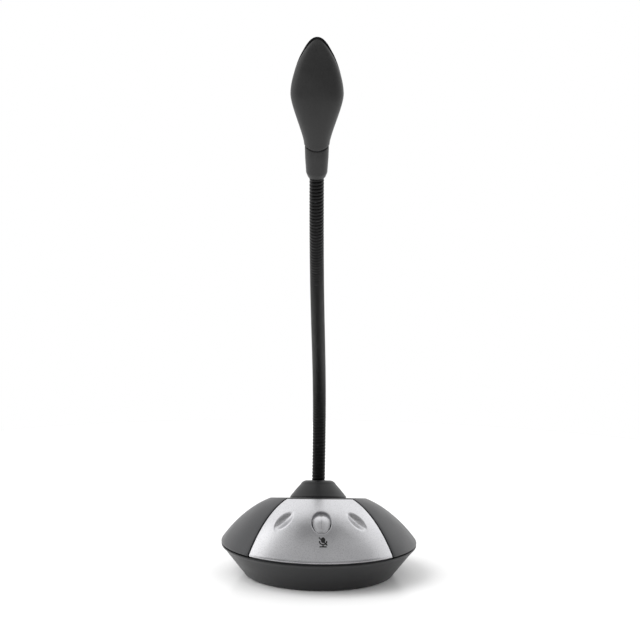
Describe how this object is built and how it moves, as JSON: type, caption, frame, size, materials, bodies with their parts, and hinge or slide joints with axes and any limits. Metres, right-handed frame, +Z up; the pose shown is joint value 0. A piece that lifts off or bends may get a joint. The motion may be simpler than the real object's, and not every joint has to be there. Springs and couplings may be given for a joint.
{
  "type": "gooseneck microphone",
  "caption": "Desk microphone with a leaf-shaped head on a bendable wound neck, standing on a round weighted base with a mute slide switch.",
  "frame": {"origin": "middle of the anti-slip pad's underside, on the desk", "axes": "+Z up, -Y towards the talker, +X to the right as the talker sees it"},
  "size_m": [0.096, 0.1791, 0.2649],
  "materials": {
    "charcoal": "fine-textured charcoal ABS, satin",
    "shell_grey": "fine-textured dark grey ABS, satin",
    "silver": "silver-painted ABS, satin",
    "head_black": "black ABS, semi-gloss",
    "neck_steel": "wound steel strip, black coated, semi-gloss",
    "rubber": "black rubber, matt",
    "screw_steel": "zinc-plated steel",
    "ballast": "cast iron, rough",
    "board": "green solder mask on glass-fibre board",
    "brass": "turned brass",
    "metal_can": "drawn aluminium can",
    "connector": "natural nylon",
    "cloth": "black acoustic cloth",
    "lead": "soft PVC sheath, matt"
  },
  "bodies": {
    "base": {"anti_slip_pad": "rubber", "ballast_plate": "ballast", "ballast_screw_1": "screw_steel", "ballast_screw_2": "screw_steel", "base_lead": "lead", "board_connector": "connector", "board_screw_1": "screw_steel", "board_screw_2": "screw_steel", "cable_gland": "rubber", "case_screw_1": "screw_steel", "case_screw_2": "screw_steel", "case_screw_3": "screw_steel", "case_screw_4": "screw_steel", "circuit_board": "board", "front_panel": "silver", "lower_shell": "charcoal", "neck_collar": "charcoal", "neck_lower_ferrule": "brass", "neck_nut": "brass", "neck_washer": "screw_steel", "switch_housing": "metal_can", "upper_shell": "shell_grey", "neck_01": "neck_steel", "lead_01": "lead"},
    "switch": {"switch_knob": "silver", "switch_slider": "head_black"},
    "neck_part_2": {"neck_02": "neck_steel", "lead_02": "lead"},
    "neck_part_3": {"neck_03": "neck_steel", "lead_03": "lead"},
    "neck_part_4": {"neck_04": "neck_steel", "lead_04": "lead"},
    "neck_part_5": {"neck_05": "neck_steel", "lead_05": "lead"},
    "neck_part_6": {"neck_06": "neck_steel", "lead_06": "lead"},
    "neck_part_7": {"neck_07": "neck_steel", "lead_07": "lead"},
    "neck_part_8": {"neck_08": "neck_steel", "lead_08": "lead"},
    "neck_part_9": {"neck_09": "neck_steel", "lead_09": "lead"},
    "head": {"neck_10": "neck_steel", "lead_10": "lead", "neck_upper_ferrule": "brass", "head_sleeve": "charcoal", "head_front_shell": "charcoal", "head_back_shell": "head_black", "acoustic_cloth": "cloth", "capsule_boot": "rubber", "microphone_capsule": "metal_can"}
  },
  "joints": [
    {"name": "mute_slide", "type": "slide", "parent": "base", "child": "switch", "axis": [0, 0.682, 0.7314], "range_m": [0, 0.0022]},
    {"name": "neck_nod_1", "type": "hinge", "parent": "base", "child": "neck_part_2", "pos_m": [-0.00054, 0.00287, 0.06532], "axis": [0.9985, -0.0541, 0], "range_deg": [-18, 18]},
    {"name": "neck_sway_2", "type": "hinge", "parent": "neck_part_2", "child": "neck_part_3", "pos_m": [-0.00086, -0.00303, 0.08443], "axis": [0.0477, 0.8805, 0.4717], "range_deg": [-18, 18]},
    {"name": "neck_nod_3", "type": "hinge", "parent": "neck_part_3", "child": "neck_part_4", "pos_m": [-0.00151, -0.01502, 0.10053], "axis": [0.9985, -0.0541, 0], "range_deg": [-18, 18]},
    {"name": "neck_sway_4", "type": "hinge", "parent": "neck_part_4", "child": "neck_part_5", "pos_m": [-0.00232, -0.0299, 0.11406], "axis": [0.0343, 0.6336, 0.7729], "range_deg": [-18, 18]},
    {"name": "neck_nod_5", "type": "hinge", "parent": "neck_part_5", "child": "neck_part_6", "pos_m": [-0.00317, -0.04565, 0.12659], "axis": [0.9985, -0.0541, 0], "range_deg": [-18, 18]},
    {"name": "neck_sway_6", "type": "hinge", "parent": "neck_part_6", "child": "neck_part_7", "pos_m": [-0.00402, -0.06121, 0.13935], "axis": [0.0352, 0.6503, 0.7589], "range_deg": [-18, 18]},
    {"name": "neck_nod_7", "type": "hinge", "parent": "neck_part_7", "child": "neck_part_8", "pos_m": [-0.00481, -0.07593, 0.15306], "axis": [0.9985, -0.0541, 0], "range_deg": [-18, 18]},
    {"name": "neck_sway_8", "type": "hinge", "parent": "neck_part_8", "child": "neck_part_9", "pos_m": [-0.00552, -0.08895, 0.16839], "axis": [0.0437, 0.806, 0.5903], "range_deg": [-18, 18]},
    {"name": "neck_nod_9", "type": "hinge", "parent": "neck_part_9", "child": "head", "pos_m": [-0.00609, -0.09949, 0.18552], "axis": [0.9985, -0.0541, 0], "range_deg": [-18, 18]}
  ]
}
